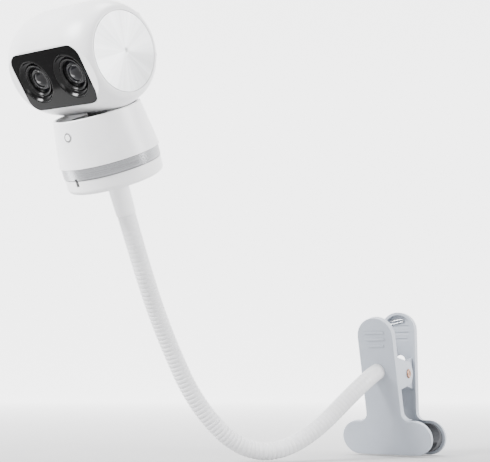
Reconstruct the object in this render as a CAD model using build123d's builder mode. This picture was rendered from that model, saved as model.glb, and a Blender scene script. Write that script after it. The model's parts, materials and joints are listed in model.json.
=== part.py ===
from build123d import *
from math import acos, asin, atan, cos, degrees, pi, radians, sin, tan
import os

# A twin-lens baby monitor camera on a bendable neck, with a sprung peg clamp for a round cot rail.
# The origin is on the rail's axis at the middle of the clamp. +X runs along the rail, -Y is the side
# that the neck and the camera stand on, and +Z is up.

# ---- driving dimensions (mm, degrees) ----
# clamp
rail_radius = 12.5
jaw_width = 31
handle_radius = 15.4
pad_width = 79
pad_height = 28.5
pad_top = 6
plate_thickness = 2.6
flange_thickness = 2.4
stem_depth = 7
bar_depth = 4
stem_corner_radius = 7
front_face_y = -18.5
front_lean = 13.5
front_handle_centre = 77.6
rear_face_y = 19.5
rear_handle_centre = 82.6
pad_gap = 10
pad_play = 0.1
rib_height = 0.8
rib_thickness = 2
rib_pitch = 5.6
rib_lengths = (15, 17.5, 17.5)
groove_depth = 0.6
window_width = 9.4
window_bottom = 40
window_top = 61.3
# jaw pivot and spring
pivot_y = -3
pivot_z = 45.2
ear_radius = 10
ear_gap = 0.3
pin_radius = 2
pin_fit = 0.06
spring_wire = 0.55
spring_radius = 4.6
spring_pitch = 1.5
spring_half_length = 6
# neck
neck_radius = 6.7
core_radius = 3.95
neck_bore = 4.05
ball_radius = 6.1
socket_radius = 6.3
sleeve_past_ball = 2.2
sleeve_before_ball = 2
core_before_ball = 6.8
neck_entry_x = -1
neck_entry_height = 48
neck_standoff = 20
neck_top = -24
neck_top_corner = -89
bend_share = 0.44
# camera body
unit_place = (-98, -264.9, 196.8)
unit_lean = (27.3, 0, -10.4)
body_foot_radius = 36
body_rim_radius = 31.2
body_height = 32.4
body_wall = 2.4
floor_low = 0.8
floor_high = 2.8
deck_low = 26
deck_high = 28
ring_radius = 35
ring_low = -7.9
ring_high = -0.4
tray_radius = 34.6
tray_top = -8.4
tray_bottom = -19
spindle_radius = 6
boss_ring_radius = 30.4
button_height = 22
button_angle = -87
button_radius = 3.2
# head
head_height = 68.5
head_radius = 37
head_flat = 16
head_half_width = 43.3
disc_radius = 26.5
disc_gap = 0.4
disc_seat = 42.4
head_wall = 2
head_split = -20
face_distance = 30.1
face_pitch = 12
face_width = 70
face_height = 41.2
face_drop = 0.6
tilt_down = 12
tilt_up = 40
face_corner = 9
panel_back = 28
lens_offset = 18.25
lens_radius = 15.3
barrel_radius = 11.5
yoke_width = 9
yoke_depth = 10
axle_radius = 2.5
screw_radius = 1
# gears
gear_module = 0.6
pressure_angle = 25
sun_teeth = 48
head_teeth = 36
pinion_teeth = 12
gear_thickness = 3
backlash = 0.12

os.makedirs("parts", exist_ok=True)


def save(builder, name):
    """Label a finished piece and write its STEP file."""
    builder.part.label = name
    export_step(builder.part, "parts/" + name + ".step")


# ---- planes that the pieces are placed by ----
front_plane = Plane(Location((0, front_face_y, 0), (90 + front_lean, 0, 0)))
rear_plane = Plane(origin=(0, rear_face_y, 0), x_dir=(1, 0, 0), z_dir=(0, -1, 0))
unit = Plane(Location(unit_place, unit_lean))


def unit_direction(x, y, z):
    """A direction given along the camera body's own axes."""
    return unit.x_dir * x + unit.y_dir * y + unit.z_dir * z


def unit_point(x, y, z):
    """A point given along the camera body's own axes."""
    return unit.origin + unit_direction(x, y, z)


unit_section = Plane(origin=unit.origin, x_dir=unit.x_dir, z_dir=-unit.y_dir)
unit_axis = Axis(unit.origin, unit.z_dir)
head_centre = unit_point(0, 0, head_height)
head_axis = Axis(head_centre, unit.x_dir)
yoke_side = Plane(origin=head_centre, x_dir=unit.y_dir, z_dir=unit.x_dir)
face_normal = unit_direction(0, -cos(radians(face_pitch)), -sin(radians(face_pitch)))
face = Plane(origin=head_centre, x_dir=unit.x_dir, z_dir=face_normal)
head_side = Plane(origin=head_centre, x_dir=-face.z_dir, z_dir=unit.x_dir)
head_section = Plane(origin=head_centre, x_dir=unit.x_dir, z_dir=-unit.y_dir)


def ring(plane, outer, inner, low, high, mode=Mode.ADD):
    """A ring, or a disc where inner is 0, between two heights over a plane."""
    with BuildSketch(plane.offset(low)) as profile:
        Circle(outer)
        if inner:
            Circle(inner, mode=Mode.SUBTRACT)
    extrude(profile.sketch, amount=high - low, mode=mode)


def turned(plane, axis, outline):
    """A solid of revolution from a closed outline of (radius, height) points."""
    with BuildSketch(plane) as profile:
        with BuildLine():
            Polyline(*outline, close=True)
        make_face()
    revolve(profile.sketch, axis=axis)


# ---- clamp jaws ----
def jaw_outline(handle_centre):
    """The T outline of one jaw: a pad bar, a stem and a round-topped handle."""
    with BuildSketch() as outline:
        with Locations((0, pad_top - pad_height / 2)):
            SlotOverall(pad_width, pad_height)
        with Locations((0, handle_centre / 2)):
            Rectangle(jaw_width, handle_centre)
        with Locations((0, handle_centre)):
            Circle(handle_radius)
        inside = [v for v in outline.vertices()
                  if abs(abs(v.X) - jaw_width / 2) < 0.1 and abs(v.Y - pad_top) < 0.1]
        fillet(inside, stem_corner_radius)
    return outline.sketch


def jaw_shell(plane, outline, inward):
    """Plate and flanges of one jaw. inward is +1 or -1 along the plane's normal."""
    with BuildSketch(plane) as profile:
        add(outline)
    extrude(profile.sketch, amount=inward * bar_depth)
    with BuildSketch(plane) as profile:
        add(outline)
        with Locations((0, pad_top - pad_height / 2)):
            Rectangle(pad_width, pad_height, mode=Mode.SUBTRACT)
    extrude(profile.sketch, amount=inward * stem_depth)
    with BuildSketch(plane.offset(inward * plate_thickness)) as profile:
        add(offset(outline, -flange_thickness, mode=Mode.PRIVATE))
    extrude(profile.sketch, amount=inward * stem_depth, mode=Mode.SUBTRACT)


def grip_ribs(plane, inward, lowest):
    """Raised bars across the handle's outer face, the lowest one shorter."""
    for number, length in enumerate(rib_lengths):
        with BuildSketch(plane.offset(-inward * rib_height)) as profile:
            with Locations((0, lowest + number * rib_pitch)):
                SlotOverall(length, rib_thickness)
        extrude(profile.sketch, amount=inward * (rib_height + plate_thickness / 2))


def grip_grooves(plane, inward, lowest):
    """Shallow grooves across the handle's inner face, one behind each bar."""
    for number, length in enumerate(rib_lengths):
        with BuildSketch(plane.offset(inward * (plate_thickness - groove_depth))) as profile:
            with Locations((0, lowest + number * rib_pitch)):
                SlotOverall(length, rib_thickness)
        extrude(profile.sketch, amount=inward * stem_depth, mode=Mode.SUBTRACT)


def ear_pair(inner, outer, root, hole_radius):
    """Two ears round the pivot. root is the (Y, Z) outline that joins them to the plate."""
    for side in (-1, 1):
        with BuildSketch(Plane(origin=(side * inner, 0, 0), x_dir=(0, 1, 0), z_dir=(1, 0, 0))) as profile:
            with Locations((pivot_y, pivot_z)):
                Circle(ear_radius)
            with BuildLine():
                Polyline(*root, close=True)
            make_face()
        extrude(profile.sketch, amount=side * (outer - inner))
    with BuildSketch(Plane.YZ) as profile:
        with Locations((pivot_y, pivot_z)):
            Circle(hole_radius)
    extrude(profile.sketch, amount=jaw_width, both=True, mode=Mode.SUBTRACT)


def jaw_pad(plane, inward, gap_side):
    """Rubber pad of one jaw, from its plate to the rail, with a groove of the rail's radius."""
    margin = flange_thickness + pad_play
    reach = 2 * rail_radius
    with BuildSketch(plane.offset(inward * plate_thickness)) as profile:
        with Locations((0, pad_top - pad_height / 2)):
            SlotOverall(pad_width - 2 * margin, pad_height - 2 * margin)
    extrude(profile.sketch, amount=inward * reach)
    with BuildSketch(Plane.YZ.offset(-pad_width)) as profile:
        Circle(rail_radius)
        with Locations((gap_side * pad_gap / 2, 0)):
            Rectangle(2 * reach, 4 * reach, align=(Align.MAX if gap_side > 0 else Align.MIN, Align.CENTER))
    extrude(profile.sketch, amount=2 * pad_width, mode=Mode.SUBTRACT)


ear_outer = jaw_width / 2
front_ear_inner = ear_outer - flange_thickness
rear_ear_outer = front_ear_inner - ear_gap
rear_ear_inner = rear_ear_outer - flange_thickness
ear_root_low = pivot_z - 1.4 * ear_radius
ear_root_high = pivot_z + 1.4 * ear_radius
ear_root_inset = 1.5


def front_root_y(height):
    """Y of a line just inside the front plate's outer face."""
    return front_face_y - height * tan(radians(front_lean)) + ear_root_inset


front_root = [(front_root_y(ear_root_low), ear_root_low), (pivot_y, pivot_z - ear_radius),
              (pivot_y, pivot_z + ear_radius), (front_root_y(ear_root_high), ear_root_high)]
rear_root = [(rear_face_y - ear_root_inset, ear_root_low), (pivot_y, pivot_z - ear_radius),
             (pivot_y, pivot_z + ear_radius), (rear_face_y - ear_root_inset, ear_root_high)]
front_outline = jaw_outline(front_handle_centre)
rear_outline = jaw_outline(rear_handle_centre)
front_lowest_rib = front_handle_centre - 8
rear_lowest_rib = rear_handle_centre - 8
edge_round = 0.7

with BuildPart() as front_jaw:
    jaw_shell(front_plane, front_outline, -1)
    outer_face = front_jaw.faces().sort_by(Axis(front_plane.origin, front_plane.z_dir))[-1]
    fillet(outer_face.edges(), edge_round)
    grip_ribs(front_plane, -1, front_lowest_rib)
    grip_grooves(front_plane, -1, front_lowest_rib)
    ear_pair(front_ear_inner, ear_outer, front_root, pin_radius + 0.02)
    with BuildSketch(front_plane):
        with Locations((neck_entry_x, neck_entry_height)):
            Circle(neck_bore)
    extrude(amount=-stem_depth, mode=Mode.SUBTRACT)
save(front_jaw, "front_jaw")

with BuildPart() as rear_jaw:
    jaw_shell(rear_plane, rear_outline, 1)
    outer_face = rear_jaw.faces().sort_by(Axis.Y)[-1]
    fillet(outer_face.edges(), edge_round)
    grip_ribs(rear_plane, 1, rear_lowest_rib)
    grip_grooves(rear_plane, 1, rear_lowest_rib)
    ear_pair(rear_ear_inner, rear_ear_outer, rear_root, pin_radius + pin_fit)
    with BuildSketch(rear_plane):
        with Locations((0, (window_bottom + window_top) / 2)):
            SlotOverall(window_top - window_bottom, window_width, rotation=90)
    extrude(amount=stem_depth, mode=Mode.SUBTRACT)
save(rear_jaw, "rear_jaw")

with BuildPart() as front_pad:
    jaw_pad(front_plane, -1, -1)
save(front_pad, "front_pad")

with BuildPart() as rear_pad:
    jaw_pad(rear_plane, 1, 1)
save(rear_pad, "rear_pad")

pin_plane = Plane(origin=(0, pivot_y, pivot_z), x_dir=(0, 1, 0), z_dir=(1, 0, 0))
pin_head_radius = 4
pin_head_thickness = 1.2

with BuildPart() as pivot_pin:
    ring(pin_plane, pin_radius, 0, -ear_outer, ear_outer)
    ring(pin_plane, pin_head_radius, 0, ear_outer, ear_outer + pin_head_thickness)
    ring(pin_plane, pin_head_radius, 0, -ear_outer - pin_head_thickness, -ear_outer)
    fillet(pivot_pin.faces().sort_by(Axis.X)[-1].edges(), 0.5)
    fillet(pivot_pin.faces().sort_by(Axis.X)[0].edges(), 0.5)
save(pivot_pin, "pivot_pin")

# The torsion spring: a coil on the pin, a straight leg on the front plate and a hairpin leg on the rear one.
front_leg_foot = (-spring_half_length, -27.2, 66)
rear_leg_points = [(spring_half_length + 2.2 * spring_wire, pivot_y + spring_radius, pivot_z + 2),
                   (-4, 14, 66), (-8.8, 15.8, 87.6), (4.2, 15.8, 90), (4.2, 15.8, 92), (-8, 15.8, 90.6)]
rear_leg_radii = (6, 1.6, 0.9, 0.9)

with BuildPart() as jaw_spring:
    with BuildLine() as coil:
        Helix(spring_pitch, 2 * spring_half_length, spring_radius,
              center=(-spring_half_length, pivot_y, pivot_z), direction=(1, 0, 0))
    with BuildSketch(Plane(origin=coil.line @ 0, z_dir=coil.line % 0)):
        Circle(spring_wire)
    sweep(path=coil.line)
    with BuildLine() as leg:
        Line(coil.line @ 0, front_leg_foot)
    with BuildSketch(Plane(origin=leg.line @ 0, z_dir=leg.line % 0)):
        Circle(spring_wire)
    sweep(path=leg.line)
save(jaw_spring, "jaw_spring")

with BuildPart() as jaw_spring_leg:
    with BuildLine() as leg:
        FilletPolyline(*rear_leg_points, radius=rear_leg_radii)
    with BuildSketch(Plane(origin=leg.line @ 0, z_dir=leg.line % 0)):
        Circle(spring_wire)
    sweep(path=leg.line)
save(jaw_spring_leg, "jaw_spring_leg")

# ---- bendable neck ----
neck_entry = front_plane.origin + front_plane.x_dir * neck_entry_x + front_plane.y_dir * neck_entry_height
neck_corners = [neck_entry + front_plane.z_dir * neck_standoff,
                Vector(-35.2, -97.5, -10.3), Vector(-63.6, -134.9, -17), Vector(-89.7, -165.1, 19),
                Vector(-101.5, -193.8, 76), unit_point(0, 0, neck_top_corner)]
neck_end = unit_point(0, 0, neck_top)
neck_route = [neck_entry] + neck_corners + [neck_end]
neck_runs = [after - before for before, after in zip(neck_route, neck_route[1:])]
# The neck bends at the middle of every run between two corners.
stations = [(before + after) / 2 for before, after in zip(neck_corners, neck_corners[1:])]
station_directions = [run.normalized() for run in neck_runs[1:-1]]


def bend_radius(corner):
    """Radius of the arc that rounds one corner of the neck's route."""
    turn = radians(neck_runs[corner].get_angle(neck_runs[corner + 1]))
    shorter = min(neck_runs[corner].length, neck_runs[corner + 1].length)
    return bend_share * shorter / tan(turn / 2)


def tube_along(start, corner_point, end, radius, outer, inner):
    """A round tube or rod along two straight runs joined by an arc."""
    with BuildLine() as line:
        FilletPolyline(start, corner_point, end, radius=radius)
    with BuildSketch(Plane(origin=start, z_dir=line.line % 0)) as profile:
        Circle(outer)
        if inner:
            Circle(inner, mode=Mode.SUBTRACT)
    sweep(profile.sketch, path=line.line)


stud_length = 6
for number, corner_point in enumerate(neck_corners):
    radius = bend_radius(number)
    first = number == 0
    last = number == len(neck_corners) - 1
    start = neck_entry if first else stations[number - 1]
    start_direction = station_directions[number - 1] * (0 if first else 1)
    end = neck_end if last else stations[number]
    end_direction = station_directions[number] if not last else neck_runs[-1].normalized()
    print("neck bend", number + 1, "radius", round(radius, 1))

    with BuildPart() as sleeve:
        sleeve_end = end if last else end - end_direction * sleeve_before_ball
        sleeve_start = start + start_direction * sleeve_past_ball
        tube_along(sleeve_start, corner_point, sleeve_end, radius, neck_radius, neck_bore)
        if not last:
            with Locations(end):
                Sphere(socket_radius, mode=Mode.SUBTRACT)
        if not first:
            with Locations(start):
                Sphere(ball_radius + 0.02, mode=Mode.SUBTRACT)
    save(sleeve, f"neck_sleeve_{number + 1}")

    with BuildPart() as core:
        core_start = neck_entry - front_plane.z_dir * stud_length if first else start
        tube_along(core_start, corner_point, sleeve_end, radius, core_radius, 0)
        if not last:
            with Locations(end):
                Sphere(core_before_ball, mode=Mode.SUBTRACT)
        if not first:
            with Locations(start):
                Sphere(ball_radius)
    save(core, f"neck_core_{number + 1}")

nut_plane = Plane(origin=neck_entry, x_dir=front_plane.x_dir, z_dir=-front_plane.z_dir)
nut_size = 7
nut_height = 3
with BuildPart() as neck_nut:
    with BuildSketch(nut_plane.offset(plate_thickness)):
        RegularPolygon(nut_size, 6)
        Circle(neck_bore, mode=Mode.SUBTRACT)
    extrude(amount=nut_height)
save(neck_nut, "neck_nut")

# ---- mount tray and pan base ----
ferrule_end = -44
with BuildPart() as neck_ferrule:
    ferrule_outline = [(7.8, tray_bottom), (7.15, ferrule_end), (neck_radius + 0.05, ferrule_end),
                       (neck_radius + 0.05, tray_bottom)]
    turned(unit_section, unit_axis, ferrule_outline)
save(neck_ferrule, "neck_ferrule")

tray_round = 3.5
tray_wall = 3.4
tray_floor = 4
tray_boss_radius = 8.5
screw_bore = 3.2
notch_width = 2.8
notch_depth = 4
key_play = 0.1
with BuildPart() as mount_tray:
    ring(unit, tray_radius, 0, tray_bottom, tray_top)
    fillet(mount_tray.edges().sort_by(unit_axis)[0], tray_round)
    ring(unit, tray_radius - tray_wall, tray_boss_radius, tray_bottom + tray_floor, tray_top, Mode.SUBTRACT)
    ring(unit, tray_boss_radius, 0, tray_top - 1, ring_low)
    ring(unit, screw_bore, 0, tray_bottom, ring_low, Mode.SUBTRACT)
    with BuildSketch(unit.offset(tray_top)):
        with Locations((0, -tray_radius)):
            Rectangle(notch_width, 3 * tray_wall)
    extrude(amount=-notch_depth, mode=Mode.SUBTRACT)
save(mount_tray, "mount_tray")

screw_head_radius = 5.5
screw_head_height = 4
with BuildPart() as tray_screw:
    ring(unit, screw_head_radius, 0, tray_bottom - screw_head_height, tray_bottom)
    ring(unit, screw_bore - 0.1, 0, tray_bottom, ring_low + 3)
    with BuildSketch(unit.offset(tray_bottom - screw_head_height)):
        RegularPolygon(2.5, 6)
    extrude(amount=2, mode=Mode.SUBTRACT)
save(tray_screw, "tray_screw")

gasket_radius = tray_radius - 0.6
with BuildPart() as base_gasket:
    ring(unit, gasket_radius, 0, tray_top, ring_low)
    ring(unit, tray_boss_radius + 0.3, 0, tray_top, ring_low, Mode.SUBTRACT)
    with BuildSketch(unit.offset(tray_top)):
        with Locations((0, -tray_radius)):
            Rectangle(notch_width, 3 * tray_wall)
    extrude(amount=ring_low - tray_top, mode=Mode.SUBTRACT)
save(base_gasket, "base_gasket")

ring_wall = 1.8
ring_tab_height = 1.2
port_width = 9
port_height = 3.2
port_depth = 7
port_centre = -4.2
port_play = 0.15
with BuildPart() as silver_ring:
    ring(unit, ring_radius, ring_radius - ring_wall, ring_low, ring_high)
    fillet(silver_ring.edges().sort_by(unit_axis)[-1], 0.3)
    with BuildSketch(unit.offset(ring_low)):
        with Locations((0, -ring_radius)):
            Rectangle(notch_width, 3 * ring_wall)
    extrude(amount=ring_tab_height, mode=Mode.SUBTRACT)
    with BuildSketch(unit.offset(port_centre - port_height / 2 - port_play)):
        with Locations((0, ring_radius)):
            Rectangle(port_width + 2 * port_play, 3 * ring_wall)
    extrude(amount=port_height + 2 * port_play, mode=Mode.SUBTRACT)
save(silver_ring, "silver_ring")

base_radius = ring_radius - ring_wall - 0.05
base_plate_height = 1.8
spindle_bore = 3.6
with BuildPart() as base_plate:
    ring(unit, base_radius, spindle_bore, ring_low, ring_low + base_plate_height)
    with BuildSketch(unit.offset(tray_top - notch_depth + key_play)):
        with Locations((0, -tray_radius + 1.4)):
            Rectangle(notch_width - 2 * key_play, 2.4)
    extrude(amount=notch_depth + ring_low - tray_top + ring_tab_height - key_play)
save(base_plate, "base_plate")

gear_low = -5.6
spindle_flange = 10
with BuildPart() as pan_spindle:
    ring(unit, spindle_radius, 0, ring_low + base_plate_height, 4.6)
    ring(unit, spindle_flange, 0, gear_low + gear_thickness + 0.2, floor_low - 0.2)
    ring(unit, spindle_bore, 0, ring_low, 4.6, Mode.SUBTRACT)
save(pan_spindle, "pan_spindle")


def gear_outline(teeth):
    """Points of an involute spur gear's outline, one tooth centred on the local X axis."""
    pitch = gear_module * teeth / 2
    base = pitch * cos(radians(pressure_angle))
    tip = pitch + 0.85 * gear_module
    root = pitch - 1.2 * gear_module
    half_tooth = pi / 2 / teeth - backlash / 2 / pitch
    flank_start = max(base, root)
    points = []
    steps = 4
    involute_at_pitch = tan(radians(pressure_angle)) - radians(pressure_angle)
    flank = []
    for step in range(steps + 1):
        radius = flank_start + (tip - flank_start) * step / steps
        angle = acos(min(1, base / radius))
        flank.append((radius, half_tooth + involute_at_pitch - (tan(angle) - angle)))
    flank = [(root, flank[0][1])] + flank if root < base else flank
    for tooth in range(teeth):
        middle = 2 * pi * tooth / teeth
        side = [(radius, middle - offset_angle) for radius, offset_angle in flank]
        side += [(radius, middle + offset_angle) for radius, offset_angle in reversed(flank)]
        points += [(radius * cos(angle), radius * sin(angle)) for radius, angle in side]
    return points


def gear(plane, teeth, bore, turn):
    """A spur gear standing on a plane, turned by an angle about the plane's normal."""
    turned_x = plane.x_dir * cos(radians(turn)) + plane.y_dir * sin(radians(turn))
    with BuildSketch(Plane(origin=plane.origin, x_dir=turned_x, z_dir=plane.z_dir)) as profile:
        with BuildLine():
            Polyline(*gear_outline(teeth), close=True)
        make_face()
        if bore:
            Circle(bore, mode=Mode.SUBTRACT)
    extrude(profile.sketch, amount=gear_thickness)


gear_distance = gear_module * (sun_teeth + pinion_teeth) / 2
tilt_gear_distance = gear_module * (head_teeth + pinion_teeth) / 2
half_pinion_tooth = 180 / pinion_teeth

with BuildPart() as pan_sun_gear:
    gear(unit.offset(gear_low), sun_teeth, spindle_radius + 0.02, 0)
save(pan_sun_gear, "pan_sun_gear")

with BuildPart() as usb_port:
    port_section = Plane(origin=unit_point(0, ring_radius - 0.3, port_centre), x_dir=unit.x_dir,
                         z_dir=-unit.y_dir)
    with BuildSketch(port_section):
        RectangleRounded(port_width, port_height, port_height / 2 - 0.1)
    extrude(amount=port_depth)
    with BuildSketch(port_section):
        RectangleRounded(port_width - 0.8, port_height - 0.8, port_height / 2 - 0.5)
    extrude(amount=port_depth - 1, mode=Mode.SUBTRACT)
    with BuildSketch(port_section.offset(1)):
        Rectangle(port_width - 3, 0.8)
    extrude(amount=port_depth - 1)
save(usb_port, "usb_port")

# ---- panning body ----
pan_motor_place = (-gear_distance, 0)
pan_motor_radius = 5.5
pan_motor_height = 10
shaft_fit = 0.05
wall_lean = atan((body_foot_radius - body_rim_radius) / body_height)
foot_inner = body_foot_radius - body_wall
rim_inner = body_rim_radius - body_wall


def wall_radius(height, foot, rim):
    """Radius of a conical wall at a height."""
    return foot + (rim - foot) * height / body_height


button_wall = wall_radius(button_height, body_foot_radius, body_rim_radius)
button_turn = radians(button_angle)
button_origin = unit_point(button_wall * cos(button_turn), button_wall * sin(button_turn), button_height)
button_normal = unit_direction(cos(button_turn) * cos(wall_lean), sin(button_turn) * cos(wall_lean),
                               sin(wall_lean))
button_plane = Plane(origin=button_origin, z_dir=button_normal)
button_hole = button_radius + 0.15
button_proud = 0.3
boss_turn = 30
boss_radius = 2.6
boss_high = 10
grille_height = 20.4
grille_pitch = 2.4
grille_hole = 0.6
card_height = 9
card_width = 12
card_slot_height = 1.6
back_plane = Plane(origin=unit_point(0, body_foot_radius, 0), x_dir=-unit.x_dir, z_dir=unit.y_dir)

with BuildPart() as body_shell:
    body_outline = [(body_foot_radius, 0), (body_rim_radius, body_height), (rim_inner, body_height),
                    (foot_inner, 0)]
    turned(unit_section, unit_axis, body_outline)
    fillet(body_shell.edges().group_by(unit_axis)[-1], 0.9)
    with BuildSketch(unit.offset(floor_high)):
        with PolarLocations(boss_ring_radius, 3, boss_turn):
            Circle(boss_radius)
    extrude(amount=boss_high - floor_high)
    with BuildSketch(unit.offset(floor_high)):
        with PolarLocations(boss_ring_radius, 3, boss_turn):
            Circle(screw_radius + 0.02)
    extrude(amount=boss_high, mode=Mode.SUBTRACT)
    with BuildSketch(button_plane.offset(2)):
        Circle(button_hole)
    extrude(amount=-3 * body_wall, mode=Mode.SUBTRACT)
    with BuildSketch(back_plane):
        with Locations((0, grille_height)):
            with GridLocations(grille_pitch, grille_pitch, 5, 3):
                Circle(grille_hole)
        with Locations((0, card_height)):
            Rectangle(card_width, card_slot_height)
    extrude(amount=-3 * body_wall, mode=Mode.SUBTRACT)
save(body_shell, "body_shell")

with BuildPart() as body_floor:
    ring(unit, foot_inner - 0.6, spindle_radius + shaft_fit, floor_low, floor_high)
    with BuildSketch(unit.offset(floor_low)):
        with PolarLocations(boss_ring_radius, 3, boss_turn):
            Circle(screw_radius + 0.1)
        with Locations(pan_motor_place):
            Circle(screw_radius + shaft_fit)
    extrude(amount=floor_high - floor_low, mode=Mode.SUBTRACT)
save(body_floor, "body_floor")

screw_head = 1.9
screw_head_thickness = 1.2
with BuildPart() as body_screws:
    with BuildSketch(unit.offset(floor_low)):
        with PolarLocations(boss_ring_radius, 3, boss_turn):
            Circle(screw_head)
    extrude(amount=-screw_head_thickness + 0.2)
    with BuildSketch(unit.offset(floor_low)):
        with PolarLocations(boss_ring_radius, 3, boss_turn):
            Circle(screw_radius)
    extrude(amount=boss_high - floor_high)
save(body_screws, "body_screws")

with BuildPart() as pan_retainer:
    ring(unit, spindle_flange, spindle_radius + 0.02, floor_high + 0.2, floor_high + 1.4)
save(pan_retainer, "pan_retainer")

with BuildPart() as pan_motor:
    with BuildSketch(unit.offset(floor_high)):
        with Locations(pan_motor_place):
            Circle(pan_motor_radius)
    extrude(amount=pan_motor_height)
save(pan_motor, "pan_motor")

with BuildPart() as pan_pinion:
    pinion_origin = unit_point(*pan_motor_place, gear_low)
    gear(Plane(origin=pinion_origin, x_dir=unit.x_dir, z_dir=unit.z_dir), pinion_teeth, 0, half_pinion_tooth)
    with BuildSketch(unit.offset(gear_low)):
        with Locations(pan_motor_place):
            Circle(screw_radius)
    extrude(amount=floor_high - 0.1 - gear_low)
save(pan_pinion, "pan_pinion")

deck_inner = wall_radius(deck_high, foot_inner, rim_inner) - 0.15
with BuildPart() as body_deck:
    ring(unit, deck_inner, 0, deck_low, deck_high)
    with BuildSketch(unit.offset(deck_low)):
        Rectangle(yoke_width + 0.4, yoke_depth + 0.4)
    extrude(amount=deck_high, mode=Mode.SUBTRACT)
save(body_deck, "body_deck")

board_low = 13.8
board_thickness = 1.4
with BuildPart() as main_board:
    ring(unit, 25, 9, board_low, board_low + board_thickness)
    with BuildSketch(unit.offset(board_low + board_thickness)):
        with Locations((14, 6)):
            Rectangle(9, 9)
        with Locations((-13, -9)):
            Rectangle(6, 8)
    extrude(amount=1.2)
save(main_board, "main_board")

speaker_radius = 5
speaker_thickness = 4
with BuildPart() as speaker:
    with BuildSketch(Plane(origin=unit_point(0, 27, grille_height), x_dir=-unit.x_dir, z_dir=unit.y_dir)):
        Circle(speaker_radius)
    extrude(amount=-speaker_thickness)
save(speaker, "speaker")

card_depth = 12
with BuildPart() as card_slot:
    with BuildSketch(Plane(origin=unit_point(0, 31.2, card_height), x_dir=-unit.x_dir, z_dir=unit.y_dir)):
        Rectangle(card_width + 2, card_slot_height + 1)
        Rectangle(card_width, card_slot_height - 0.4, mode=Mode.SUBTRACT)
    extrude(amount=-card_depth)
save(card_slot, "card_slot")

button_travel = 0.5
with BuildPart() as button:
    ring(button_plane, button_radius, 0, -body_wall - 0.9, button_proud)
    fillet(button.faces().sort_by(Axis(button_origin, button_normal))[-1].edges(), 0.25)
save(button, "button")

with BuildPart() as button_switch:
    switch_face = -body_wall - 0.9 - button_travel - 0.15
    with BuildSketch(button_plane.offset(switch_face)):
        Circle(1.6)
    extrude(amount=-1)
    with BuildSketch(button_plane.offset(switch_face - 1)):
        Rectangle(6, 6)
    extrude(amount=-1.6)
save(button_switch, "button_switch")

# ---- yoke and tilt drive ----
yoke_boss_radius = 8
yoke_foot_radius = 15
yoke_foot_height = 3
half_yoke = yoke_width / 2
tilt_gear_low = 5.2
tilt_motor_radius = 4
tilt_motor_length = 10
with BuildPart() as yoke:
    ring(unit, yoke_foot_radius, 0, deck_low - yoke_foot_height, deck_low)
    with BuildSketch(unit.offset(deck_low)):
        Rectangle(yoke_width, yoke_depth)
    extrude(amount=head_height - deck_low)
    ring(yoke_side, yoke_boss_radius, 0, -half_yoke, half_yoke)
    ring(yoke_side, axle_radius + shaft_fit, 0, -half_yoke, half_yoke, Mode.SUBTRACT)
    with BuildSketch(yoke_side.offset(-half_yoke)):
        with Locations((0, -tilt_gear_distance)):
            Circle(screw_radius + shaft_fit)
    extrude(amount=yoke_width, mode=Mode.SUBTRACT)
save(yoke, "yoke")

with BuildPart() as tilt_motor:
    with BuildSketch(yoke_side.offset(-half_yoke)):
        with Locations((0, -tilt_gear_distance)):
            Circle(tilt_motor_radius)
    extrude(amount=-tilt_motor_length)
save(tilt_motor, "tilt_motor")

with BuildPart() as tilt_pinion:
    pinion_origin = yoke_side.origin - yoke_side.y_dir * tilt_gear_distance
    pinion_side = Plane(origin=pinion_origin, x_dir=yoke_side.x_dir, z_dir=yoke_side.z_dir)
    gear(pinion_side.offset(tilt_gear_low), pinion_teeth, 0, half_pinion_tooth)
    ring(pinion_side, screw_radius, 0, -half_yoke + 0.1, tilt_gear_low)
save(tilt_pinion, "tilt_pinion")

# ---- head ----
inner_side = disc_seat - head_wall - 0.2
inner_corner = 25.8
slot_half_width = half_yoke + 1.2
slot_room = 11
slot_front = face_pitch + tilt_down + slot_room
slot_back = tilt_up - face_pitch + slot_room
slot_near = 28
slot_far = 60
panel_play = 0.2
post_x = 38.2
post_y = 14
post_radius = 2.8
post_depth = 10
cap_screw_seat = -24.5


def barrel(edge_x, edge_radius, top_radius, side_x):
    """A barrel on the head's axis: flat in the middle, with elliptical shoulders down to its sides."""
    with BuildSketch(head_section) as profile:
        with BuildLine():
            shoulder = EllipticalCenterArc((head_flat, edge_radius), edge_x - head_flat,
                                           top_radius - edge_radius, start_angle=0, arc_size=90)
            Polyline(shoulder @ 1, (0, top_radius), (0, 0), (side_x, 0), (side_x, edge_radius))
            if edge_x > side_x:
                Line((side_x, edge_radius), shoulder @ 0)
        make_face()
        mirror(about=Plane.YZ)
    revolve(profile.sketch, axis=head_axis)


def clear_beyond(distance, depth):
    """Cut everything away from a distance in front of the head's axis; a negative depth cuts backwards."""
    with BuildSketch(face.offset(distance)) as profile:
        Rectangle(3 * head_radius, 3 * head_radius)
    extrude(profile.sketch, amount=depth, mode=Mode.SUBTRACT)


def slot_cut():
    """The slot under the head that the yoke passes through."""
    corners = []
    for reach, angle in ((slot_near, slot_front), (slot_far, slot_front), (slot_far, -slot_back),
                         (slot_near, -slot_back)):
        corners.append((-reach * sin(radians(angle)), -reach * cos(radians(angle))))
    with BuildSketch(head_side.offset(-slot_half_width)) as profile:
        Polygon(*corners, align=None)
    extrude(profile.sketch, amount=2 * slot_half_width, mode=Mode.SUBTRACT)


def head_outside():
    """The outside of the head: the barrel, cut flat where the face panel stands."""
    barrel(head_half_width, disc_radius + disc_gap, head_radius, disc_seat)
    clear_beyond(face_distance, head_radius)


post_places = [(post_x, post_y), (post_x, -post_y), (-post_x, post_y), (-post_x, -post_y)]

with BuildPart() as head_hollow:
    barrel(inner_side, inner_corner, head_radius - head_wall, inner_side)
    clear_beyond(panel_back - head_wall, head_radius)

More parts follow.
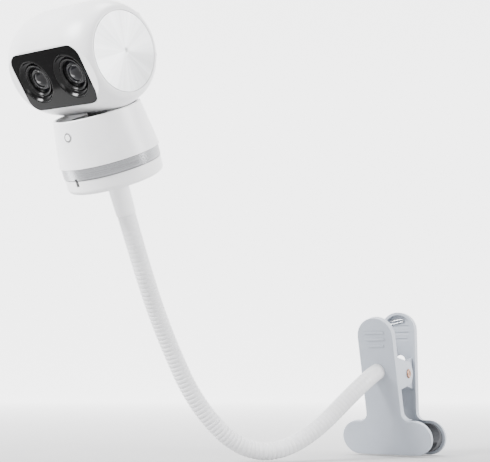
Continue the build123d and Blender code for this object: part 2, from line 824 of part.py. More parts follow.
with BuildPart() as head_front_shell:
    head_outside()
    add(head_hollow.part, mode=Mode.SUBTRACT)
    with BuildSketch(face.offset(head_split)):
        with Locations(post_places):
            Circle(post_radius)
    extrude(amount=post_depth)
    clear_beyond(head_split, -head_radius)
    with BuildSketch(face.offset(head_split)):
        with Locations(post_places):
            Circle(screw_radius + 0.02)
    extrude(amount=post_depth - 1, mode=Mode.SUBTRACT)
    for side in (-1, 1):
        ring(yoke_side, 2 * axle_radius, 0, side * (inner_side + 0.2), side * (inner_side - 6))
    ring(yoke_side, axle_radius + 0.02, 0, -inner_side, inner_side, Mode.SUBTRACT)
    with BuildSketch(face.offset(panel_back)):
        with Locations((0, -face_drop)):
            RectangleRounded(face_width + 2 * panel_play, face_height + 2 * panel_play, face_corner + panel_play)
    extrude(amount=head_wall + 1, mode=Mode.SUBTRACT)
    with BuildSketch(face.offset(panel_back)):
        with Locations((-lens_offset, -face_drop), (lens_offset, -face_drop)):
            Circle(lens_radius + panel_play)
    extrude(amount=-2 * head_wall, mode=Mode.SUBTRACT)
    slot_cut()
save(head_front_shell, "head_front_shell")

with BuildPart() as head_rear_shell:
    head_outside()
    add(head_hollow.part, mode=Mode.SUBTRACT)
    with BuildSketch(face.offset(head_split)):
        with Locations(post_places):
            Circle(post_radius)
    extrude(amount=-post_depth + 2)
    clear_beyond(head_split, 2 * head_radius)
    with BuildSketch(face.offset(head_split)):
        with Locations(post_places):
            Circle(screw_radius + 0.1)
    extrude(amount=-post_depth, mode=Mode.SUBTRACT)
    with BuildSketch(face.offset(cap_screw_seat)):
        with Locations(post_places):
            Circle(screw_head + 0.1)
    extrude(amount=-post_depth, mode=Mode.SUBTRACT)
    slot_cut()
save(head_rear_shell, "head_rear_shell")

with BuildPart() as head_screws:
    with BuildSketch(face.offset(cap_screw_seat)):
        with Locations(post_places):
            Circle(screw_head)
    extrude(amount=-screw_head_thickness)
    with BuildSketch(face.offset(cap_screw_seat)):
        with Locations(post_places):
            Circle(screw_radius)
    extrude(amount=head_split - cap_screw_seat + post_depth - 2)
save(head_screws, "head_screws")

disc_rise = 0.5
for side, name in ((1, "side_disc_right"), (-1, "side_disc_left")):
    with BuildPart() as side_disc:
        disc_outline = [(side * disc_seat, 0), (side * disc_seat, disc_radius),
                        (side * head_half_width, disc_radius), (side * (head_half_width + disc_rise), 0)]
        turned(head_section, head_axis, disc_outline)
    save(side_disc, name)

with BuildPart() as face_panel:
    with BuildSketch(face.offset(panel_back)):
        with Locations((0, -face_drop)):
            RectangleRounded(face_width, face_height, face_corner)
        with Locations((-lens_offset, -face_drop), (lens_offset, -face_drop)):
            Circle(lens_radius + 0.05, mode=Mode.SUBTRACT)
    extrude(amount=face_distance - panel_back)
save(face_panel, "face_panel")

cone_back = 25
barrel_back = 14
glass_seat = 24
glass_edge = 25.2
glass_crown = 26.8
glass_radius = 8.4
glass_rise = glass_crown - glass_edge
dome_radius = (glass_radius ** 2 + glass_rise ** 2) / (2 * glass_rise)
dome_half_angle = degrees(asin(glass_radius / dome_radius))
sensor_thickness = 1.8
cone_outline = [(lens_radius, cone_back), (lens_radius, face_distance - 0.2),
                (lens_radius - 0.6, face_distance - 0.2), (barrel_radius + 0.3, 27.2),
                (barrel_radius + 0.3, cone_back)]
barrel_outline = [(0, barrel_back), (barrel_radius, barrel_back), (barrel_radius, 27.6), (10.4, 27.6),
                  (10.4, 26.8), (9.4, 26.8), (9.4, 26), (glass_radius + 0.1, 26),
                  (glass_radius + 0.1, glass_seat), (0, glass_seat)]
for side, name in ((1, "right"), (-1, "left")):
    lens_centre = head_centre + face.x_dir * side * lens_offset - face.y_dir * face_drop
    lens_section = Plane(origin=lens_centre, x_dir=face.x_dir, z_dir=-face.y_dir)
    lens_axis = Axis(lens_centre, face.z_dir)

    with BuildPart() as lens_cone:
        turned(lens_section, lens_axis, cone_outline)
    save(lens_cone, "lens_cone_" + name)

    with BuildPart() as lens_barrel:
        turned(lens_section, lens_axis, barrel_outline)
    save(lens_barrel, "lens_barrel_" + name)

    with BuildPart() as lens_glass:
        with BuildSketch(lens_section):
            with BuildLine():
                Polyline((0, glass_crown), (0, glass_seat), (glass_radius, glass_seat),
                         (glass_radius, glass_edge))
                CenterArc((0, glass_crown - dome_radius), dome_radius, 90 - dome_half_angle, dome_half_angle)
            make_face()
        revolve(axis=lens_axis)
    save(lens_glass, "lens_glass_" + name)

    with BuildPart() as sensor_board:
        with BuildSketch(face.offset(barrel_back - sensor_thickness)):
            with Locations((side * 19.5, 0)):
                Rectangle(20, 20)
        extrude(amount=sensor_thickness)
    save(sensor_board, "sensor_board_" + name)

with BuildPart() as tilt_gear:
    gear(yoke_side.offset(tilt_gear_low), head_teeth, axle_radius + 0.02, 0)
save(tilt_gear, "tilt_gear")

with BuildPart() as tilt_axle:
    ring(yoke_side, axle_radius, 0, -inner_side, inner_side)
save(tilt_axle, "tilt_axle")
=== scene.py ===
import bmesh
import bpy
import json
from math import cos, floor, pi, radians, sin
from mathutils import Matrix, Vector


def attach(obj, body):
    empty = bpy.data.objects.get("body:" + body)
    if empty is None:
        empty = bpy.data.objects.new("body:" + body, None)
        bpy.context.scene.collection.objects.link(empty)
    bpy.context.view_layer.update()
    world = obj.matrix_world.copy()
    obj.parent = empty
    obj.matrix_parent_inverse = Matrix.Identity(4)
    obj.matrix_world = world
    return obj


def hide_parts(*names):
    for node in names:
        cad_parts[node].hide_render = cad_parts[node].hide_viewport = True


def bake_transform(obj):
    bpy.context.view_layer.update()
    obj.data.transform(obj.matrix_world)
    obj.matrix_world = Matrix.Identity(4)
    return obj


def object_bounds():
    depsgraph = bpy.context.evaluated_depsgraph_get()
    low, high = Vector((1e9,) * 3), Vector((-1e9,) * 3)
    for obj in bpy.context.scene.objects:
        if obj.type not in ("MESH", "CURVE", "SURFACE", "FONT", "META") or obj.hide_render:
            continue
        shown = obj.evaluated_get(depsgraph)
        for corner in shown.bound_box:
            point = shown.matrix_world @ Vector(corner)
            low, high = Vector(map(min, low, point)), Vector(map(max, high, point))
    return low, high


# The looks of a twin-lens baby monitor camera on a bendable neck with a sprung clamp.
# Everything is in metres, in the frame of the CAD part: the origin on the rail's axis, +Z up.
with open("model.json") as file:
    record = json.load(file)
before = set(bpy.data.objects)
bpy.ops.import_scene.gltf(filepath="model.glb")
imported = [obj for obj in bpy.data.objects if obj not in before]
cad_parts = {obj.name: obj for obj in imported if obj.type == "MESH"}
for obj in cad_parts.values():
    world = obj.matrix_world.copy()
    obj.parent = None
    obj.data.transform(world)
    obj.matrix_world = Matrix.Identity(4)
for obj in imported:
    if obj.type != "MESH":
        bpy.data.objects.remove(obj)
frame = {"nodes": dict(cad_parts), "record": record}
cad_low, cad_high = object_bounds()
mm = 0.001
joints = {joint["name"]: joint for joint in frame["record"]["behaviour"]["joints"]}


def joint_place(name):
    """Where a joint's axis passes, at rest."""
    return Vector(joints[name]["pos_m"])


# The camera unit's own axes: across from lens to lens, to the back, and up its pan axis.
unit_origin = joint_place("pan")
unit_up = Vector(joints["pan"]["axis"]).normalized()
unit_across = Vector(joints["tilt"]["axis"]).normalized()
unit_back = unit_up.cross(unit_across).normalized()
head_centre = joint_place("tilt")


def unit_point(across, back, up):
    """A point given along the camera unit's own axes."""
    return unit_origin + unit_across * across + unit_back * back + unit_up * up


# ---- camera, light and floor ----
camera_place = Vector((0.3404, -0.8026, 0.0426))
camera_forward = Vector((-0.51407, 0.84554, 0.14418))
camera_lens = 73.47


def add_camera():
    """The camera at the photograph's viewing angle, level from side to side."""
    data = bpy.data.cameras.new("camera")
    data.lens = camera_lens
    data.sensor_width = 36
    data.clip_start = 0.01
    camera = bpy.data.objects.new("camera", data)
    back = -camera_forward.normalized()
    right = Vector((0, 0, 1)).cross(back).normalized()
    up = back.cross(right)
    turn = Matrix((right, up, back)).transposed().to_4x4()
    camera.matrix_world = Matrix.Translation(camera_place) @ turn
    bpy.context.scene.collection.objects.link(camera)
    bpy.context.scene.camera = camera


def add_area_light(name, place, target, size, power):
    """A soft square white light at a place, turned to a target."""
    data = bpy.data.lights.new(name, "AREA")
    data.size = size
    data.energy = power
    light = bpy.data.objects.new(name, data)
    light.location = place
    light.rotation_euler = (Vector(target) - Vector(place)).to_track_quat("-Z", "Y").to_euler()
    bpy.context.scene.collection.objects.link(light)


def add_world(brightness):
    """An even pale surrounding."""
    world = bpy.data.worlds.new("studio")
    world.use_nodes = True
    background = world.node_tree.nodes["Background"]
    background.inputs["Color"].default_value = (brightness, brightness, brightness * 1.02, 1)
    background.inputs["Strength"].default_value = 1
    bpy.context.scene.world = world


# ---- mesh helpers ----
def mesh_object(name, points, faces):
    """A smooth-shaded object from points in metres and faces."""
    mesh = bpy.data.meshes.new(name)
    mesh.from_pydata([tuple(p) for p in points], [], faces)
    mesh.update()
    work = bmesh.new()
    work.from_mesh(mesh)
    bmesh.ops.recalc_face_normals(work, faces=work.faces)
    work.to_mesh(mesh)
    work.free()
    mesh.polygons.foreach_set("use_smooth", [True] * len(mesh.polygons))
    piece = bpy.data.objects.new(name, mesh)
    bpy.context.scene.collection.objects.link(piece)
    return piece


def rows_of_faces(row_count, row_length):
    """Quads between rows of points, each row a closed ring."""
    faces = []
    for row in range(row_count - 1):
        for i in range(row_length):
            j = (i + 1) % row_length
            faces.append((row * row_length + i, row * row_length + j,
                          (row + 1) * row_length + j, (row + 1) * row_length + i))
    return faces


# ---- floor ----
floor_clearance = 0.4 * mm
floor_middle = 0.2 * mm


def add_floor():
    """A pale floor that curves up into a wall all round, far from the object."""
    centre_x = (cad_low.x + cad_high.x) / 2
    centre_y = (cad_low.y + cad_high.y) / 2
    level = cad_low.z - floor_clearance
    flat, bend, wall, steps, sides = 2.6, 1.4, 5.0, 14, 96
    outline = [(floor_middle, 0.0), (flat, 0.0)]
    for step in range(1, steps + 1):
        angle = pi / 2 * step / steps
        outline.append((flat + bend * sin(angle), bend * (1 - cos(angle))))
    outline.append((flat + bend, wall))
    points = []
    for radius, height in outline:
        for side in range(sides):
            turn = 2 * pi * side / sides
            points.append((centre_x + radius * cos(turn), centre_y + radius * sin(turn), level + height))
    stage_floor = mesh_object("studio_floor", points, rows_of_faces(len(outline), sides))
    return stage_floor


# ---- material helpers ----
def new_material(name):
    """A material with its node tree, shader and rest-frame coordinates."""
    made = bpy.data.materials.new(name)
    made.use_nodes = True
    tree = made.node_tree
    shader = tree.nodes["Principled BSDF"]
    place = tree.nodes.new("ShaderNodeTexCoord").outputs["Object"]
    return made, tree, shader, place


def noise(tree, place, scale, detail=3.0, rough=0.55):
    """Noise at a number of cells per metre."""
    node = tree.nodes.new("ShaderNodeTexNoise")
    node.inputs["Scale"].default_value = scale
    node.inputs["Detail"].default_value = detail
    node.inputs["Roughness"].default_value = rough
    tree.links.new(place, node.inputs["Vector"])
    return node.outputs["Fac"]


def ramp(tree, value, stops):
    """A colour ramp with its stops as (position, colour)."""
    node = tree.nodes.new("ShaderNodeValToRGB")
    elements = node.color_ramp.elements
    while len(elements) < len(stops):
        elements.new(0.5)
    for element, (position, colour) in zip(elements, stops):
        element.position = position
        element.color = (*colour, 1)
    tree.links.new(value, node.inputs["Fac"])
    return node.outputs["Color"]


def spread(tree, value, low, high, from_low=0.3, from_high=0.7):
    """A value stretched from one range onto another."""
    node = tree.nodes.new("ShaderNodeMapRange")
    node.inputs["From Min"].default_value = from_low
    node.inputs["From Max"].default_value = from_high
    node.inputs["To Min"].default_value = low
    node.inputs["To Max"].default_value = high
    tree.links.new(value, node.inputs["Value"])
    return node.outputs["Result"]


def math_node(tree, operation, first, second=None):
    """One arithmetic step; the second input may be a number or a socket."""
    node = tree.nodes.new("ShaderNodeMath")
    node.operation = operation
    tree.links.new(first, node.inputs[0])
    if isinstance(second, (int, float)):
        node.inputs[1].default_value = second
    elif second is not None:
        tree.links.new(second, node.inputs[1])
    return node.outputs["Value"]


def vector_node(tree, operation, first, second):
    """One vector step with a constant second vector."""
    node = tree.nodes.new("ShaderNodeVectorMath")
    node.operation = operation
    tree.links.new(first, node.inputs[0])
    node.inputs[1].default_value = second
    return node.outputs["Value" if operation == "DOT_PRODUCT" else "Vector"]


def bump(tree, shader, height, strength, distance):
    """Relief from a height, in metres."""
    node = tree.nodes.new("ShaderNodeBump")
    node.inputs["Strength"].default_value = strength
    node.inputs["Distance"].default_value = distance
    tree.links.new(height, node.inputs["Height"])
    tree.links.new(node.outputs["Normal"], shader.inputs["Normal"])
    return node


def soft_edges(tree, node, radius):
    """Rounded light on the edges of a moulded or turned piece."""
    edge = tree.nodes.new("ShaderNodeBevel")
    edge.samples = 6
    edge.inputs["Radius"].default_value = radius
    tree.links.new(edge.outputs["Normal"], node.inputs["Normal"])


def shade(colour, factor):
    """A colour made lighter or darker."""
    return tuple(min(1.0, channel * factor) for channel in colour)


def moulded(name, colour, roughness, grain=2600, relief=0.10, edge=0.4 * mm):
    """Moulded plastic: a fine spark-eroded grain, slow tone changes and soft edges."""
    vary = 0.05
    made, tree, shader, place = new_material(name)
    slow = noise(tree, place, 45)
    fine = noise(tree, place, grain, 2.0, 0.6)
    tone = ramp(tree, slow, [(0.3, shade(colour, 1 - vary)), (0.7, shade(colour, 1 + vary * 0.5))])
    tree.links.new(tone, shader.inputs["Base Color"])
    tree.links.new(spread(tree, fine, roughness * 0.88, roughness * 1.12), shader.inputs["Roughness"])
    node = bump(tree, shader, fine, relief, 0.06 * mm)
    if edge:
        soft_edges(tree, node, edge)
    return made


def metal(name, colour, roughness, grain=1800):
    """Plain metal with a drawn or rolled surface."""
    vary = 0.08
    made, tree, shader, place = new_material(name)
    slow = noise(tree, place, 160, 4.0)
    fine = noise(tree, place, grain, 3.0, 0.65)
    tone = ramp(tree, slow, [(0.3, shade(colour, 1 - vary)), (0.7, shade(colour, 1 + vary))])
    tree.links.new(tone, shader.inputs["Base Color"])
    shader.inputs["Metallic"].default_value = 1
    tree.links.new(spread(tree, fine, roughness * 0.8, roughness * 1.2), shader.inputs["Roughness"])
    node = bump(tree, shader, fine, 0.15, 0.03 * mm)
    soft_edges(tree, node, 0.2 * mm)
    return made


def rubber(name, colour, roughness):
    """Matt moulded rubber with a dusty bloom."""
    made, tree, shader, place = new_material(name)
    bloom = noise(tree, place, 120, 5.0, 0.7)
    fine = noise(tree, place, 3200, 2.0)
    tone = ramp(tree, bloom, [(0.35, shade(colour, 0.85)), (0.7, shade(colour, 1.3))])
    tree.links.new(tone, shader.inputs["Base Color"])
    tree.links.new(spread(tree, bloom, roughness * 0.9, roughness * 1.1), shader.inputs["Roughness"])
    node = bump(tree, shader, fine, 0.2, 0.08 * mm)
    soft_edges(tree, node, 0.4 * mm)
    return made


def turned_metal(name, colour, roughness, centre, axis, lines_per_metre, along_axis, anisotropy,
                 metallic=1.0, painted_fan_sheen=0.0):
    """Metal brushed in circles round an axis: fine lines, anisotropic highlights, and light and dark
    wedges painted into the colour as a painted sheen.
    """
    made, tree, shader, place = new_material(name)
    offset = vector_node(tree, "SUBTRACT", place, centre)
    height = vector_node(tree, "DOT_PRODUCT", offset, axis)
    length = tree.nodes.new("ShaderNodeVectorMath")
    length.operation = "LENGTH"
    across = vector_node(tree, "CROSS_PRODUCT", offset, axis)
    tree.links.new(across, length.inputs[0])
    radial = length.outputs["Value"]
    lane = height if along_axis else radial
    pair = tree.nodes.new("ShaderNodeCombineXYZ")
    tree.links.new(math_node(tree, "MULTIPLY", lane, lines_per_metre), pair.inputs[0])
    slow = noise(tree, place, 60)
    tree.links.new(math_node(tree, "MULTIPLY", slow, 1.5), pair.inputs[1])
    lines = noise(tree, pair.outputs["Vector"], 1.0, 3.0, 0.7)
    unit_vector = tree.nodes.new("ShaderNodeVectorMath")
    unit_vector.operation = "NORMALIZE"
    tree.links.new(across, unit_vector.inputs[0])
    # Painted sheen: tone that changes with the angle round the axis, light and dark wedges standing in for
    # the brushed highlights.
    painted_sheen_wedges = noise(tree, unit_vector.outputs["Vector"], 2.6, 3.0, 0.6)
    grain_and_painted_sheen = math_node(tree, "ADD", math_node(tree, "MULTIPLY", lines, 1 - painted_fan_sheen),
                      math_node(tree, "MULTIPLY", painted_sheen_wedges, painted_fan_sheen))
    tone = ramp(tree, grain_and_painted_sheen, [(0.38, shade(colour, 0.80)), (0.62, shade(colour, 1.12))])
    tree.links.new(tone, shader.inputs["Base Color"])
    shader.inputs["Metallic"].default_value = metallic
    tree.links.new(spread(tree, lines, roughness * 0.8, roughness * 1.25), shader.inputs["Roughness"])
    shader.inputs["Anisotropic"].default_value = anisotropy
    tree.links.new(unit_vector.outputs["Vector"], shader.inputs["Tangent"])
    bump(tree, shader, lines, 0.12, 0.02 * mm)
    return made


def gloss(name, colour, roughness, specular):
    """Polished black plastic with faint finger smears."""
    made, tree, shader, place = new_material(name)
    smears = noise(tree, place, 38, 6.0, 0.7)
    dust = noise(tree, place, 900, 2.0)
    tone = ramp(tree, dust, [(0.4, colour), (0.8, shade(colour, 1.6))])
    tree.links.new(tone, shader.inputs["Base Color"])
    tree.links.new(spread(tree, smears, roughness, roughness * 2), shader.inputs["Roughness"])
    shader.inputs["Specular IOR Level"].default_value = specular
    node = bump(tree, shader, smears, 0.01, 0.1 * mm)
    soft_edges(tree, node, 0.3 * mm)
    return made


def lens_glass_material(name):
    """Dark coated glass with a faint blue-violet bloom."""
    made, tree, shader, place = new_material(name)
    bloom = noise(tree, place, 160, 1.0)
    coating = ramp(tree, bloom, [(0.35, (0.0010, 0.0012, 0.0016)), (0.7, (0.0022, 0.0022, 0.0040))])
    tree.links.new(coating, shader.inputs["Base Color"])
    dust = noise(tree, place, 500, 4.0)
    tree.links.new(spread(tree, dust, 0.03, 0.06), shader.inputs["Roughness"])
    shader.inputs["Specular IOR Level"].default_value = 0.34
    return made


def marked_button_material(name, colour, mark, centre, axis, inner, outer):
    """Moulded plastic with a dark ring round an axis."""
    made, tree, shader, place = new_material(name)
    offset = vector_node(tree, "SUBTRACT", place, centre)
    sideways = vector_node(tree, "CROSS_PRODUCT", offset, axis)
    length = tree.nodes.new("ShaderNodeVectorMath")
    length.operation = "LENGTH"
    tree.links.new(sideways, length.inputs[0])
    blur = 0.12 * mm
    middle = (inner + outer) / 2
    off_ring = math_node(tree, "ABSOLUTE", math_node(tree, "SUBTRACT", length.outputs["Value"], middle))
    half = (outer - inner) / 2
    cover = spread(tree, off_ring, 1.0, 0.0, half - blur, half + blur)
    tone = ramp(tree, cover, [(0.0, colour), (1.0, mark)])
    tree.links.new(tone, shader.inputs["Base Color"])
    fine = noise(tree, place, 2600, 2.0, 0.6)
    tree.links.new(spread(tree, fine, 0.3, 0.38), shader.inputs["Roughness"])
    bump(tree, shader, fine, 0.1, 0.06 * mm)
    return made


def circuit_board_material(name):
    """Green solder mask over a pattern of copper tracks."""
    made, tree, shader, place = new_material(name)
    cells = tree.nodes.new("ShaderNodeTexVoronoi")
    cells.distance = "MANHATTAN"
    cells.inputs["Scale"].default_value = 700
    tree.links.new(place, cells.inputs["Vector"])
    tone = ramp(tree, cells.outputs["Distance"],
                [(0.25, (0.015, 0.10, 0.045)), (0.45, (0.03, 0.18, 0.08))])
    tree.links.new(tone, shader.inputs["Base Color"])
    tree.links.new(spread(tree, cells.outputs["Distance"], 0.3, 0.45), shader.inputs["Roughness"])
    bump(tree, shader, cells.outputs["Distance"], 0.2, 0.05 * mm)
    return made


# The level direction from the camera to the object: the floor and wall on that side glow brighter, a
# painted light.
painted_glow_side = (-0.52, 0.85, 0.0)


def floor_material(name):
    """A plain pale matt floor with the faintest tooth, made to glow as painted light, most on the side
    behind the object.
    """
    made, tree, shader, place = new_material(name)
    fine = noise(tree, place, 60, 4.0)
    tone = ramp(tree, fine, [(0.3, (0.36, 0.36, 0.363)), (0.7, (0.38, 0.38, 0.383))])
    tree.links.new(tone, shader.inputs["Base Color"])
    # Painted light: the floor's glow grows from faint to bright towards the side behind the object.
    behind = vector_node(tree, "DOT_PRODUCT", place, painted_glow_side)
    shader.inputs["Emission Color"].default_value = (1, 1, 1, 1)
    tree.links.new(spread(tree, behind, 0.08, 3.6, -0.1, 1.8), shader.inputs["Emission Strength"])
    shader.inputs["Roughness"].default_value = 0.85
    return made


def dress(material, *nodes):
    """Give CAD nodes a material through their objects' material slots."""
    for name in nodes:
        shown = frame["nodes"][name]
        if not shown.material_slots:
            shown.data.materials.append(material)
        for entry in shown.material_slots:
            entry.link = "OBJECT"
            entry.material = material


# ---- the neck ----
neck_radius = 6.7 * mm
neck_corners = [Vector(p) * mm for p in (
    (-1.0, -49.15, 42.0),
    (-35.2, -97.5, -10.3),
    (-63.6, -134.9, -17.0),
    (-89.7, -165.1, 19.0),
    (-101.5, -193.8, 76.0),
)]
neck_bends = ("neck_bend_1", "neck_swing_1", "neck_bend_2", "neck_swing_2", "neck_bend_3")
neck_entry = Vector((-1.0, -29.7, 46.7)) * mm
# The cover and its core stop just inside the ferrule, short of where the CAD sleeve ends within it.
neck_end = unit_point(0, 0, -43.5 * mm)
neck_corners.append(unit_point(0, 0, -89 * mm))
rib_pitch = 3.4 * mm
neck_core_radius = 3.9 * mm
steps_per_bend = 80


def bend_point(first, corner, last, share):
    """A point of a smooth bend from one point to the next, pulled to the corner between them."""
    rest = 1 - share
    return first * rest * rest + corner * 2 * rest * share + last * share * share


def neck_line():
    """The neck's centreline as closely spaced points, with its length up to each."""
    knots = [neck_entry] + [joint_place(name) for name in neck_bends] + [neck_end]
    line = [neck_entry.copy()]
    for first, corner, last in zip(knots, neck_corners, knots[1:]):
        for step in range(1, steps_per_bend + 1):
            line.append(bend_point(first, corner, last, step / steps_per_bend))
    travelled = [0.0]
    for before, after in zip(line, line[1:]):
        travelled.append(travelled[-1] + (after - before).length)
    return line, travelled


def along(line, travelled, wanted):
    """The point and direction at a length along the line."""
    wanted = min(max(wanted, 0.0), travelled[-1])
    low, high = 0, len(travelled) - 1
    while high - low > 1:
        middle = (low + high) // 2
        if travelled[middle] <= wanted:
            low = middle
        else:
            high = middle
    share = (wanted - travelled[low]) / (travelled[low + 1] - travelled[low])
    direction = (line[low + 1] - line[low]).normalized()
    return line[low].lerp(line[low + 1], share), direction


def rib_radius(length, total):
    """The sleeve's radius: round ribs with a groove between, deepest half way up the neck."""
    phase = length / rib_pitch
    phase -= floor(phase)
    groove = max(0.0, 1 - abs(phase - 0.5) / 0.32)
    share = min(1.0, max(0.0, (length / total - 0.12) / 0.86))
    depth = (0.12 + 0.36 * sin(pi * share)) * mm
    return neck_radius - depth * groove * groove * (3 - 2 * groove)


def neck_length_mesh(name, line, travelled, first, last, steps, radius_at):
    """A closed tube along part of the neck's line, its radius given for each length."""
    sides = 40
    count = max(2, round((last - first) / rib_pitch * steps))
    points = []
    side = Vector((0.3, 0.2, 0.93))
    for step in range(count + 1):
        length = first + (last - first) * step / count
        centre, direction = along(line, travelled, length)
        across = (side - direction * side.dot(direction)).normalized()
        other = direction.cross(across)
        radius = radius_at(length)
        for i in range(sides):
            turn = 2 * pi * i / sides
            points.append(centre + (across * cos(turn) + other * sin(turn)) * radius)
    caps = [tuple(range(sides)), tuple(count * sides + i for i in range(sides))]
    return mesh_object(name, points, rows_of_faces(count + 1, sides) + caps)


def make_neck(cover_material, core_material):
    """Five lengths of ribbed sleeve over a steel core, each bending across one station of the neck."""
    line, travelled = neck_line()
    total = travelled[-1]
    stations = [joint_place(name) for name in neck_bends]
    station_lengths = [travelled[steps_per_bend * (i + 1)] for i in range(len(stations))]
    cuts = [0.0]
    for before, after in zip(station_lengths, station_lengths[1:]):
        cuts.append(round((before + after) / 2 / rib_pitch) * rib_pitch)
    cuts.append(total)
    for index, name in enumerate(neck_bends):
        first, last = cuts[index], cuts[index + 1]
        cover = neck_length_mesh("neck_cover_%d" % (index + 1), line, travelled, first, last, 12,
                                 lambda length: rib_radius(length, total))
        core = neck_length_mesh("neck_wire_%d" % (index + 1), line, travelled, first, last, 3,
                                lambda length: neck_core_radius)
        for piece, material, slot, kind in ((cover, cover_material, "neck_cover", "neck_sleeve_%d"),
                                            (core, core_material, "steel", "neck_core_%d")):
            piece.data.materials.append(material)
            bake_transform(piece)
            replaced = [kind % (index + 1)]
            if index == len(neck_bends) - 1:
                replaced.append(kind % (index + 2))
            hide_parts(*replaced)


# ---- turned pieces ----
def turned_piece(name, centre, axis, outline, material, body, replaced, sides=96):
    """A piece turned round an axis from its (radius, height) outline, riding on a body."""
    axis = axis.normalized()
    across = axis.orthogonal().normalized()
    other = axis.cross(across)
    points = []
    for radius, height in outline:
        for i in range(sides):
            turn = 2 * pi * i / sides
            outward = across * cos(turn) + other * sin(turn)
            points.append(centre + axis * height * mm + outward * radius * mm)
    piece = mesh_object(name, points, rows_of_faces(len(outline), sides))
    piece.data.materials.append(material)
    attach(piece, body)
    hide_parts(replaced)


def arc_points(centre_radius, centre_height, radius, first, last, steps):
    """Points of an arc in a turned outline, between two angles in degrees from the axis."""
    made = []
    for step in range(steps + 1):
        angle = radians(first + (last - first) * step / steps)
        made.append((max(0.02, centre_radius + radius * sin(angle)), centre_height + radius * cos(angle)))
    return made


# ---- lenses ----
# Their outlines are in millimetres: radius from the lens axis, height from the head's tilt axis.
face_pitch = 12
face_drop = 0.6 * mm
lens_offset = 18.25 * mm
face_normal = (-unit_back * cos(radians(face_pitch)) - unit_up * sin(radians(face_pitch))).normalized()
face_up = face_normal.cross(unit_across)
lens_centres = {side: head_centre + unit_across * sign * lens_offset - face_up * face_drop
                for side, sign in (("right", 1), ("left", -1))}


def make_lenses(ring_material, glass_material, cone_material):
    """For each lens: a dished funnel, a barrel with a rolled rim, and a stepped, domed front glass."""
    for side, centre in lens_centres.items():
        funnel = [(15.25, 25.0), (15.25, 29.9), (15.0, 30.02), (14.75, 29.9), (14.4, 29.2), (13.7, 28.3),
                  (12.8, 27.6), (11.9, 27.3), (11.85, 25.0)]
        turned_piece("lens_funnel_" + side, centre, face_normal, funnel + funnel[:1], cone_material,
                     "camera_head", "lens_cone_" + side)
        outline = [(0.02, 14.0), (11.45, 14.0), (11.45, 27.5), (11.3, 27.75), (10.9, 27.85), (10.5, 27.7),
                   (10.35, 27.2), (10.2, 27.1), (9.85, 27.15), (9.73, 26.8), (9.73, 23.5), (0.02, 23.5)]
        turned_piece("lens_rings_" + side, centre, face_normal, outline, ring_material,
                     "camera_head", "lens_barrel_" + side)
        dome = [(0.02, 23.55), (9.66, 23.55), (9.66, 24.3)]
        dome += arc_points(0, 12.6, 15.2, 39.2, 27.0, 12)
        dome += [(6.75, 25.85), (6.45, 25.8), (6.3, 26.25), (6.1, 26.4), (5.85, 26.3), (5.75, 25.9)]
        dome += arc_points(0, 19.37, 8.6, 40.6, 0, 16)
        turned_piece("lens_front_glass_" + side, centre, face_normal, dome, glass_material,
                     "camera_head", "lens_glass_" + side)


def make_rivet(material):
    """The pivot's rivet: a plain shank with rolled, dimpled heads."""
    centre = joint_place("jaw")
    half = 15.5
    head = [(2.0, half), (3.9, half), (4.0, half + 0.25), (3.85, half + 0.75), (3.3, half + 1.1),
            (2.5, half + 1.15), (1.9, half + 0.85), (1.2, half + 0.55), (0.4, half + 0.75),
            (0.02, half + 0.8)]
    outline = [(radius, -height) for radius, height in reversed(head)] + head
    turned_piece("pivot_rivet", centre, Vector((1, 0, 0)), outline, material, "clamp_front",
                 "pivot_pin", sides=48)


def add_face_card():
    """A small bright card, low in front of the face and to one side, for the panel's lower part to mirror.

    It stands where the camera sees it in the panel, so its place is worked out from the camera's.
    """
    panel_height = 30 * mm
    seen_from = 7 * mm
    panel = head_centre + face_normal * panel_height - face_up * face_drop
    reach = 0.30
    mirrored_camera = camera_place - face_normal * 2 * (camera_place - panel).dot(face_normal)
    edge_on_panel = panel - face_up * seen_from
    ray = (edge_on_panel - mirrored_camera).normalized()
    card_top = edge_on_panel + ray * reach
    width, height = 0.20, 0.06
    card_down = ray.cross(unit_across).normalized()
    if card_down.dot(face_up) > 0:
        card_down = -card_down
    data = bpy.data.lights.new("face_card", "AREA")
    data.shape = "RECTANGLE"
    data.size = width
    data.size_y = height
    data.energy = 0.32
    light = bpy.data.objects.new("face_card", data)
    card_across = ray.cross(card_down).normalized()
    turn = Matrix((card_across, ray.cross(card_across), ray)).transposed().to_4x4()
    light.matrix_world = Matrix.Translation(card_top + card_down * height / 2) @ turn
    bpy.context.scene.collection.objects.link(light)


# ---- materials on the pieces ----
add_camera()
add_world(0.25)
object_middle = (-0.06, -0.2, 0.15)
add_area_light("key", (-0.95, -1.85, 1.45), object_middle, 0.9, 165)
add_area_light("side", (1.5, 0.25, 0.7), object_middle, 0.8, 44)
add_area_light("top", (-0.1, -0.1, 2.2), object_middle, 0.7, 44)
add_area_light("front", (0.36, -0.93, 0.22), (-0.1, -0.28, 0.25), 0.3, 1.6)
add_face_card()
floor_piece = add_floor()
floor_piece.data.materials.append(floor_material("floor"))

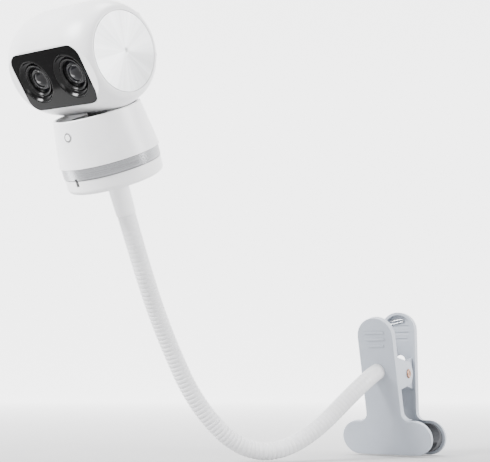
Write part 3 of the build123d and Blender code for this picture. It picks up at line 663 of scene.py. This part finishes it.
white_colour = (0.80, 0.80, 0.81)
white = moulded("white_shell", white_colour, 0.34)
neck_white = moulded("neck_cover", (0.70, 0.70, 0.71), 0.42, grain=1500, relief=0.15, edge=0)
jaw = moulded("jaw_plastic", (0.36, 0.39, 0.44), 0.38, grain=2200, relief=0.14)
pads = rubber("pad_rubber", (0.05, 0.052, 0.058), 0.75)
black = moulded("dark_plastic", (0.012, 0.012, 0.013), 0.55)
acetal = moulded("gear_plastic", (0.72, 0.69, 0.60), 0.4)
speaker_black = moulded("speaker_black", (0.03, 0.03, 0.032), 0.7, grain=1200, relief=0.4)
steel = metal("steel", (0.55, 0.56, 0.58), 0.3)
spring_steel = metal("spring_steel", (0.42, 0.43, 0.45), 0.26, grain=3000)
copper = metal("rivet", (0.34, 0.19, 0.13), 0.26)
panel_black = gloss("black_gloss", (0.0012, 0.0012, 0.0013), 0.04, specular=0.04)
cone_black = gloss("lens_cone", (0.0012, 0.0012, 0.0013), 0.12, specular=0.2)
ring_black = gloss("lens_rings", (0.0010, 0.0010, 0.0011), 0.16, specular=0.22)
glass = lens_glass_material("lens_glass")
board = circuit_board_material("circuit_board")
brush_lines = 5200
ring_silver = turned_metal("silver", (0.30, 0.305, 0.315), 0.26, tuple(unit_origin), tuple(unit_up),
                           brush_lines, True, 0.6)
# The side discs carry a painted sheen: light and dark wedges painted into their colour.
disc_silver = turned_metal("side_silver", (0.70, 0.71, 0.72), 0.38, tuple(head_centre), tuple(unit_across),
                           brush_lines, False, 0.8, metallic=0.45, painted_fan_sheen=0.75)

dress(white, "neck_ferrule", "mount_tray", "body_shell", "head_front_shell", "head_rear_shell")
button_mark = marked_button_material("button_mark", white_colour, (0.04, 0.04, 0.045),
                                     tuple(joint_place("button_press")),
                                     tuple(Vector(joints["button_press"]["axis"]).normalized()),
                                     2.25 * mm, 3.05 * mm)
dress(button_mark, "button")
dress(jaw, "front_jaw", "rear_jaw")
dress(pads, "front_pad", "rear_pad")
dress(copper, "pivot_pin")
dress(spring_steel, "jaw_spring", "jaw_spring_leg")
dress(steel, "neck_nut", "tray_screw", "body_screws", "head_screws", "tilt_axle", "pan_motor",
      "tilt_motor", "usb_port", "card_slot", *["neck_core_%d" % i for i in range(1, 7)])
dress(ring_silver, "silver_ring")
dress(disc_silver, "side_disc_right", "side_disc_left")
# The deck and yoke, under the head, are dressed in the near-black plastic as painted shade for the dark
# under the head; the gasket, base plate and lens barrels are black of their own.
dress(black, "base_gasket", "base_plate", "body_floor", "body_deck", "yoke",
      "lens_barrel_right", "lens_barrel_left")
dress(panel_black, "face_panel")
dress(cone_black, "lens_cone_right", "lens_cone_left")
dress(glass, "lens_glass_right", "lens_glass_left")
dress(acetal, "pan_spindle", "pan_sun_gear", "pan_retainer", "pan_pinion", "tilt_pinion", "tilt_gear")
dress(board, "main_board", "sensor_board_right", "sensor_board_left", "button_switch")
dress(speaker_black, "speaker")

make_neck(neck_white, steel)
make_lenses(ring_black, glass, cone_black)
make_rivet(copper)
